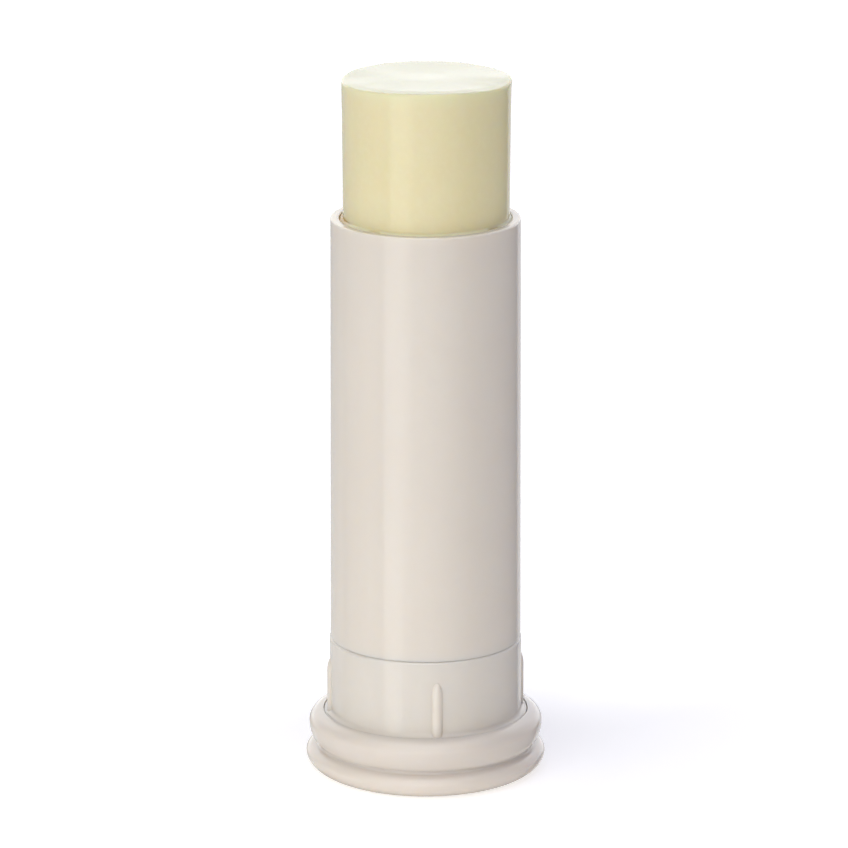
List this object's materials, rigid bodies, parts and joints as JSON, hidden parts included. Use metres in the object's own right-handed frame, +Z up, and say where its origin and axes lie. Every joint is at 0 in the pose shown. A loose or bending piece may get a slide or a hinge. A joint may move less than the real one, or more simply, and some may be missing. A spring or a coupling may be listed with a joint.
{
  "type": "sunscreen stick",
  "caption": "Twist-up sunscreen stick: round cream tube with a ribbed collar, a two-bead turning base, and a pale yellow stick raised out of the mouth.",
  "frame": {"origin": "centre of the foot ring under the base, on the surface it stands on", "axes": "+Z up along the tube's axis; one of the four collar ribs faces -Y"},
  "size_m": [0.027, 0.027, 0.0792],
  "materials": {
    "tube_plastic": "glossy cream polypropylene",
    "collar_plastic": "glossy cream polypropylene",
    "base_plastic": "glossy cream polypropylene",
    "mechanism_plastic": "natural white polypropylene, as moulded",
    "stick_product": "pale yellow wax, satin"
  },
  "bodies": {
    "barrel": {"outer_tube": "tube_plastic", "ribbed_collar": "collar_plastic"},
    "dial": {"twist_base": "base_plastic", "lift_screw": "mechanism_plastic"},
    "carrier": {"lift_platform": "mechanism_plastic", "sunscreen_stick": "stick_product"}
  },
  "joints": [
    {"name": "dial_turn", "type": "hinge", "parent": "barrel", "child": "dial", "pos_m": [0, 0, 0], "axis": [0, 0, 1], "range_deg": [-1176.48, 2221.92]},
    {"name": "stick_lift", "type": "slide", "parent": "barrel", "child": "carrier", "axis": [0, 0, 1], "range_m": [-0.01636, 0.03088]}
  ],
  "couplings": [
    {"joint": "stick_lift", "follows": "dial_turn", "m_per_rad": 0.00079577}
  ]
}
